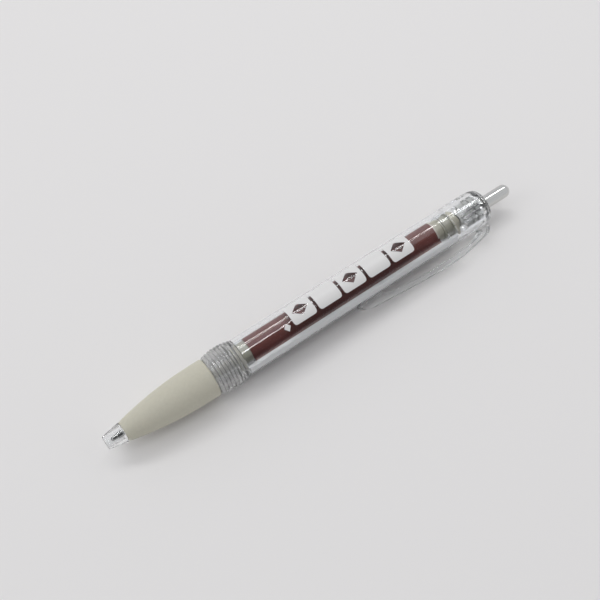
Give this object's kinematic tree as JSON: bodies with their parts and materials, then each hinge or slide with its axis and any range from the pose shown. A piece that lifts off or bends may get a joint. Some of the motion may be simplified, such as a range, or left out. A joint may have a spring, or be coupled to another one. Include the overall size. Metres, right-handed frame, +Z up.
{
  "type": "retractable banner pen",
  "caption": "Clear push-button ballpoint with a rubber grip, a pocket clip and a spring-rewound banner that pulls out through a slot in the barrel.",
  "frame": {"origin": "on the surface the pen lies on, under the centre of its bounding box", "axes": "+X along the pen from nose to push button, -Y the side that the clip and the slot are on, +Z up"},
  "size_m": [0.1452, 0.0168, 0.0134],
  "materials": {
    "clear_plastic": "clear, polished",
    "strip_plastic": "frosted pale grey",
    "cream_rubber": "soft, matt cream",
    "natural_plastic": "natural, slightly translucent",
    "brown_film": "dark red-brown printed film, satin",
    "chrome": "bright plated",
    "spring_steel": "drawn wire",
    "ball_metal": "ground and polished",
    "cam_plastic": "grey, moulded",
    "ink": "ink paste"
  },
  "bodies": {
    "barrel": {"barrel": "clear_plastic", "ribbed_ring": "clear_plastic", "front_bush": "natural_plastic", "rear_bush": "natural_plastic", "cap": "clear_plastic", "rewind_spring": "spring_steel"},
    "nose": {"nose_section": "clear_plastic", "rubber_grip": "cream_rubber", "return_spring": "spring_steel"},
    "spool": {"core_tube": "natural_plastic", "banner_roll": "brown_film"},
    "strip": {"pull_strip": "strip_plastic", "banner_web": "brown_film"},
    "clip": {"clip": "clear_plastic"},
    "button": {"push_button": "chrome", "cam_plunger": "cam_plastic"},
    "refill": {"refill_tube": "natural_plastic", "ink_column": "ink", "refill_point": "chrome", "cam_rotor": "cam_plastic"},
    "ball": {"writing_ball": "ball_metal"}
  },
  "joints": [
    {"name": "button_press", "type": "slide", "parent": "barrel", "child": "button", "axis": [-1, 0, 0], "range_m": [0, 0.005], "stiffness_N_per_m": 250, "springref_m": -0.004},
    {"name": "refill_advance", "type": "slide", "parent": "barrel", "child": "refill", "axis": [-1, 0, 0], "range_m": [0, 0.005], "deforming": ["return_spring"]},
    {"name": "ball_roll", "type": "hinge", "parent": "refill", "child": "ball", "pos_m": [-0.0702, 0.00173, 0.0067], "axis": [0, 1, 0], "continuous": true},
    {"name": "banner_pull", "type": "slide", "parent": "barrel", "child": "strip", "axis": [0, -0.9744, 0.225], "range_m": [0, 0.17], "stiffness_N_per_m": 3, "springref_m": -0.15, "deforming": ["banner_web"]},
    {"name": "spool_spin", "type": "hinge", "parent": "barrel", "child": "spool", "pos_m": [0, 0.00251, 0.00652], "axis": [1, 0, 0], "range_deg": [0, 2600], "deforming": ["rewind_spring"]},
    {"name": "clip_flex", "type": "hinge", "parent": "barrel", "child": "clip", "pos_m": [0.0581, -0.00373, 0.00386], "axis": [0, -0.4617, 0.887], "range_deg": [0, 3.5], "stiffness_Nm_per_rad": 3, "springref_deg": -0.57},
    {"name": "nose_off", "type": "slide", "parent": "barrel", "child": "nose", "axis": [-1, 0, 0], "range_m": [0, 0.045]}
  ],
  "couplings": [
    {"joint": "refill_advance", "follows": "button_press", "ratio": 1},
    {"joint": "spool_spin", "follows": "banner_pull", "rad_per_m": 266.67}
  ]
}
